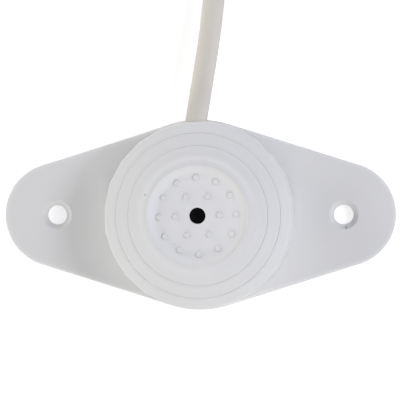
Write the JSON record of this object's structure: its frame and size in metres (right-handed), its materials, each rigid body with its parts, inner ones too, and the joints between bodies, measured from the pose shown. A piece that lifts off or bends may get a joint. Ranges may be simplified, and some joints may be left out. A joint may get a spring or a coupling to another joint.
{
  "type": "surveillance microphone",
  "caption": "Round stepped microphone housing on a flat lozenge plate with two countersunk fixing holes; a cable leaves its side and ends in bare leads.",
  "frame": {"origin": "centre of the base plate at its flat back face", "axes": "+X along the plate, from one fixing hole to the other; +Y to the side where the cable leaves; +Z out of the front, along the cap's axis"},
  "size_m": [0.1043, 0.1276, 0.0134],
  "materials": {
    "plate_plastic": "fine matt, off-white",
    "cap_plastic": "fine matt, off-white",
    "cable_jacket": "matt, warm light grey",
    "power_insulation": "satin red",
    "audio_insulation": "satin white",
    "ground_insulation": "satin black",
    "tinned_copper": "tinned, dull bright",
    "tie_ribbon": "matt black",
    "felt": "matt black",
    "capsule_metal": "satin",
    "soft_rubber": "matt black",
    "board": "satin green",
    "pin_metal": "plated",
    "screw_steel": "zinc plated",
    "chip_moulding": "matt black",
    "can_metal": "bright can",
    "ceramic": "satin tan",
    "resistor_glaze": "gloss black"
  },
  "bodies": {
    "root": {"base_plate": "plate_plastic", "front_cap": "cap_plastic", "capsule_felt": "felt", "capsule_can": "capsule_metal", "capsule_boot": "soft_rubber", "capsule_board": "board", "capsule_pins": "pin_metal", "circuit_board": "board", "board_screws": "screw_steel", "preamp_chip": "chip_moulding", "voltage_regulator": "chip_moulding", "protection_diode": "chip_moulding", "electrolytic_capacitor_1": "can_metal", "electrolytic_capacitor_2": "can_metal", "electrolytic_capacitor_3": "can_metal", "cable_clamp": "plate_plastic", "clamp_screws": "screw_steel", "cable": "cable_jacket", "cable_tail": "cable_jacket", "power_wire": "power_insulation", "audio_wire": "audio_insulation", "ground_wire": "ground_insulation", "power_lead": "power_insulation", "audio_lead": "audio_insulation", "ground_lead": "ground_insulation", "power_lead_tip": "tinned_copper", "audio_lead_tip": "tinned_copper", "ground_lead_tip": "tinned_copper", "cable_coil": "cable_jacket", "coil_tie": "tie_ribbon", "ceramic_capacitor_1": "ceramic", "ceramic_capacitor_2": "ceramic", "ceramic_capacitor_3": "ceramic", "ceramic_capacitor_4": "ceramic", "resistor_1": "resistor_glaze", "resistor_2": "resistor_glaze", "resistor_3": "resistor_glaze", "resistor_4": "resistor_glaze", "resistor_5": "resistor_glaze", "resistor_6": "resistor_glaze"}
  },
  "joints": []
}
